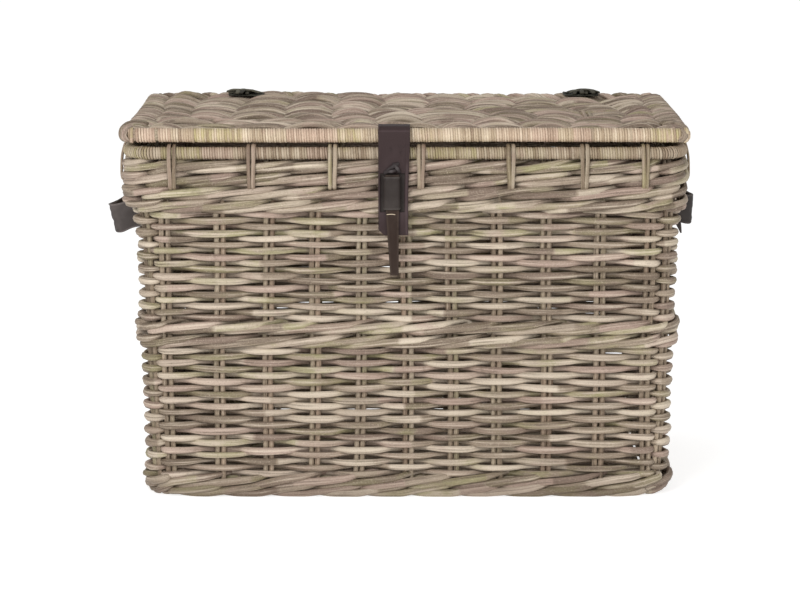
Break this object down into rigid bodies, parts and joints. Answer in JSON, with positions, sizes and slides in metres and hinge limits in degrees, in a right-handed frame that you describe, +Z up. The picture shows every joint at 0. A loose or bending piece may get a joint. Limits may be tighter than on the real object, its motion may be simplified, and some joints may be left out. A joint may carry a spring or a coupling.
{
  "type": "wicker storage trunk",
  "caption": "Rectangular woven rattan storage trunk with a hinged lid, cane-bound rim, leather side handles, and a leather hasp locked by a peg.",
  "frame": {"origin": "centre of the base on the floor, within a few millimetres of the bounding box's bottom centre", "axes": "+X along the trunk's length, -Y out of the front that carries the hasp, +Z up"},
  "size_m": [0.8893, 0.53, 0.5539],
  "materials": {
    "wicker": "grey-washed rattan core, matte, each strand a little different",
    "cane": "pale split cane, satin",
    "pole": "bare rattan pole, matte",
    "dark_leather": "dark waxed leather",
    "hasp_leather": "dark brown leather, worn on its edges",
    "worn_leather": "greyed leather, worn",
    "handle_leather": "grey-brown leather, worn",
    "thong": "dark leather lacing"
  },
  "bodies": {
    "trunk": {"base_frame": "pole", "base_sticks": "pole", "base_weave": "wicker", "foot_border": "wicker", "front_stakes": "pole", "back_stakes": "pole", "left_stakes": "pole", "right_stakes": "pole", "lower_weave": "wicker", "mid_wale": "wicker", "upper_weave": "wicker", "top_wale": "wicker", "rim_outer_pole": "pole", "rim_inner_pole": "pole", "rim_binding": "cane", "rim_lashings": "cane", "peg_keeper": "worn_leather", "left_handle_anchors": "handle_leather", "right_handle_anchors": "handle_leather", "left_hinge_body_leaf": "dark_leather", "right_hinge_body_leaf": "dark_leather", "body_hinge_lacings": "thong"},
    "lid": {"lid_front_pole": "pole", "lid_front_binding": "cane", "lid_back_pole": "pole", "lid_side_poles": "pole", "lid_ribs": "pole", "lid_weave": "wicker", "left_hinge_lid_leaf": "dark_leather", "right_hinge_lid_leaf": "dark_leather", "lid_hinge_lacings": "thong", "hasp_tab": "hasp_leather"},
    "hasp": {"hasp_strap": "hasp_leather"},
    "peg": {"peg": "hasp_leather", "peg_knot": "thong"},
    "left_handle": {"left_handle": "handle_leather"},
    "right_handle": {"right_handle": "handle_leather"}
  },
  "joints": [
    {"name": "lid_hinge", "type": "hinge", "parent": "trunk", "child": "lid", "pos_m": [0, 0.2525, 0.5233], "axis": [-1, 0, 0], "range_deg": [0, 100]},
    {"name": "hasp_swing", "type": "hinge", "parent": "lid", "child": "hasp", "pos_m": [-0.0173, -0.2507, 0.5415], "axis": [-1, 0, 0], "range_deg": [0, 150], "deforming": ["hasp_strap"]},
    {"name": "peg_slide", "type": "slide", "parent": "trunk", "child": "peg", "axis": [0, 0, 1], "range_m": [0, 0.15]},
    {"name": "left_handle_swing", "type": "hinge", "parent": "trunk", "child": "left_handle", "pos_m": [-0.41, 0, 0.413], "axis": [0, 1, 0], "range_deg": [0, 50]},
    {"name": "right_handle_swing", "type": "hinge", "parent": "trunk", "child": "right_handle", "pos_m": [0.41, 0, 0.42], "axis": [0, -1, 0], "range_deg": [0, 50]}
  ]
}
